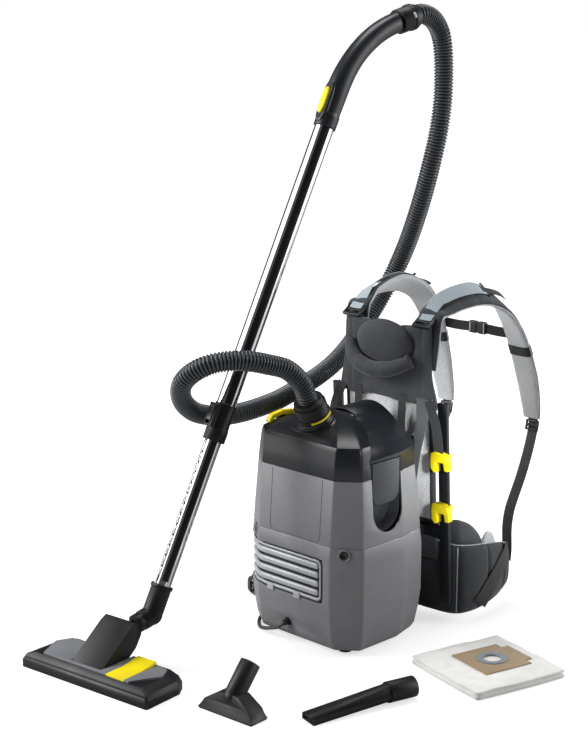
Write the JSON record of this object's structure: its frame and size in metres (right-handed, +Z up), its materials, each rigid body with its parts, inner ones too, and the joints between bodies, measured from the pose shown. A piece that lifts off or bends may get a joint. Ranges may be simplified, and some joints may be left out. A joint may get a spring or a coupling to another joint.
{
  "type": "backpack vacuum cleaner",
  "caption": "Backpack vacuum cleaner: casing with hinged lid and motor base, padded harness, ribbed hose, telescopic wand with floor tool, small tools and spare bag.",
  "frame": {"origin": "floor level at the middle foot under the casing", "axes": "+Z up, -Y towards the casing's front with the grille, +Y towards the wearer, +X towards the accessory pocket's side"},
  "size_m": [0.8274, 1.106, 1.2946],
  "materials": {
    "grey_abs": "fine-textured grey ABS",
    "black_pp": "textured black polypropylene",
    "rubber": "matt rubber",
    "steel": "zinc-plated",
    "filter_fleece": "non-woven fleece",
    "black_abs": "fine-textured black ABS",
    "aluminium": "pressed sheet",
    "green_pp": "moulded polypropylene",
    "dark_abs": "dark grey ABS",
    "yellow_pom": "satin yellow acetal",
    "hose_eva": "ribbed EVA hose",
    "silver_abs": "light grey ABS",
    "steel_tube": "chrome-plated steel tube",
    "light_grey_abs": "satin grey ABS",
    "bristle": "nylon bristle",
    "card": "grey-brown board",
    "cord_pvc": "soft dark grey PVC",
    "mesh_white": "open spacer mesh",
    "dark_fabric": "woven polyester over foam",
    "webbing": "woven nylon webbing"
  },
  "bodies": {
    "root": {"base_shell": "grey_abs", "chamber_shell": "grey_abs", "rear_cover": "black_pp", "rubber_feet": "rubber", "housing_screws": "steel", "exhaust_filter": "filter_fleece", "motor_housing": "black_abs", "motor_seals": "rubber", "motor_filter": "filter_fleece", "filter_bag": "filter_fleece", "bag_holder": "green_pp", "lid_seal": "rubber", "accessory_pocket": "black_abs", "lid_hinge_pin": "steel", "hose": "hose_eva", "grip_handle": "black_abs", "outer_tube": "steel_tube", "outer_strip": "dark_abs", "tube_lock": "black_abs", "cord_gland": "rubber", "cord_lead": "cord_pvc", "cord_coil": "cord_pvc", "plug": "cord_pvc", "harness_frame": "black_pp", "back_mesh": "mesh_white", "yoke_panel": "dark_fabric", "yoke_pad": "dark_fabric", "grip_roll": "dark_fabric", "shoulder_straps": "dark_fabric", "strap_buckles": "black_abs", "lower_webbing": "webbing", "chest_strap": "webbing", "hip_belt": "dark_fabric"},
    "fan": {"fan_rotor": "aluminium"},
    "flap": {"pocket_flap": "dark_abs"},
    "lid": {"lid": "black_pp", "latch_bracket": "black_abs", "inlet_ring": "black_abs"},
    "latch": {"lid_latch": "yellow_pom"},
    "collar": {"hose_collar": "black_abs", "collar_mark": "yellow_pom"},
    "cuff": {"handle_cuff": "black_abs"},
    "grille": {"exhaust_grille": "silver_abs"},
    "slide": {"suction_slide": "yellow_pom"},
    "button": {"lock_button": "dark_abs"},
    "inner": {"inner_tube": "steel_tube", "inner_strip": "dark_abs", "tool_neck": "black_abs"},
    "throat": {"tool_throat": "black_abs"},
    "tool": {"tool_top": "light_grey_abs", "tool_base": "black_pp"},
    "brush": {"tool_brush": "bristle"},
    "pedal": {"tool_pedal": "yellow_pom"},
    "upholstery": {"upholstery_tool": "black_abs"},
    "crevice": {"crevice_tool": "black_abs"},
    "spare_bag": {"spare_bag": "filter_fleece", "spare_bag_plate": "card"},
    "hook_upper": {"rail_hook_upper": "yellow_pom"},
    "hook_lower": {"rail_hook_lower": "yellow_pom"}
  },
  "joints": [
    {"name": "lid_hinge", "type": "hinge", "parent": "root", "child": "lid", "pos_m": [0, 0.012, 0.468], "axis": [-1, 0, 0], "range_deg": [0, 70], "deforming": ["hose"]},
    {"name": "latch_lever", "type": "hinge", "parent": "lid", "child": "latch", "pos_m": [-0.118, -0.014, 0.445], "axis": [-1, 0, 0], "range_deg": [0, 60]},
    {"name": "hose_collar_swivel", "type": "hinge", "parent": "lid", "child": "collar", "pos_m": [0, -0.06345, 0.47569], "axis": [0, -0.454, 0.891], "continuous": true},
    {"name": "pocket_flap_hinge", "type": "hinge", "parent": "root", "child": "flap", "pos_m": [0.144, -0.008, 0.3975], "axis": [0, -1, 0], "range_deg": [0, 80]},
    {"name": "grille_pull", "type": "slide", "parent": "root", "child": "grille", "axis": [0, -1, 0], "range_m": [0, 0.025]},
    {"name": "fan_spin", "type": "hinge", "parent": "root", "child": "fan", "pos_m": [0, 0.012, 0.1], "axis": [0, 0, 1], "continuous": true},
    {"name": "cuff_swivel", "type": "hinge", "parent": "root", "child": "cuff", "pos_m": [-0.05177, 0.23482, 1.25705], "axis": [0.1177, 0.9587, 0.2588], "continuous": true},
    {"name": "suction_slide_run", "type": "slide", "parent": "root", "child": "slide", "axis": [0.0515, 0.4195, 0.9063], "range_m": [-0.012, 0.012]},
    {"name": "lock_button_press", "type": "slide", "parent": "root", "child": "button", "axis": [-0.0515, -0.4195, -0.9063], "range_m": [0, 0.007], "stiffness_N_per_m": 300, "springref_m": -0.004},
    {"name": "telescope", "type": "slide", "parent": "root", "child": "inner", "axis": [0.0515, 0.4195, 0.9063], "range_m": [0, 0.3]},
    {"name": "neck_swivel", "type": "hinge", "parent": "inner", "child": "throat", "pos_m": [-0.133, -0.43, 0.094], "axis": [-0.1058, -0.9563, -0.2727], "range_deg": [-40, 40]},
    {"name": "tool_tilt", "type": "hinge", "parent": "throat", "child": "tool", "pos_m": [-0.14974, -0.51703, 0.033], "axis": [0.9945, 0.1045, 0], "range_deg": [-25, 20]},
    {"name": "pedal_rocker", "type": "hinge", "parent": "tool", "child": "pedal", "pos_m": [-0.06442, -0.50606, 0.033], "axis": [-0.9945, -0.1045, 0], "range_deg": [0, 10]},
    {"name": "brush_lift", "type": "slide", "parent": "tool", "child": "brush", "axis": [0, 0, 1], "range_m": [0, 0.006]},
    {"name": "hook_upper_run", "type": "slide", "parent": "root", "child": "hook_upper", "axis": [0, -0.0523, 0.9986], "range_m": [-0.03, 0.003]},
    {"name": "hook_lower_run", "type": "slide", "parent": "root", "child": "hook_lower", "axis": [0, -0.0523, 0.9986], "range_m": [-0.03, 0.03]},
    {"name": "upholstery_lift", "type": "slide", "parent": "root", "child": "upholstery", "axis": [0, 0, 1], "range_m": [0, 0.15]},
    {"name": "crevice_lift", "type": "slide", "parent": "root", "child": "crevice", "axis": [0, 0, 1], "range_m": [0, 0.15]},
    {"name": "spare_bag_lift", "type": "slide", "parent": "root", "child": "spare_bag", "axis": [0, 0, 1], "range_m": [0, 0.15]}
  ],
  "couplings": [
    {"joint": "brush_lift", "follows": "pedal_rocker", "m_per_rad": 0.034}
  ]
}
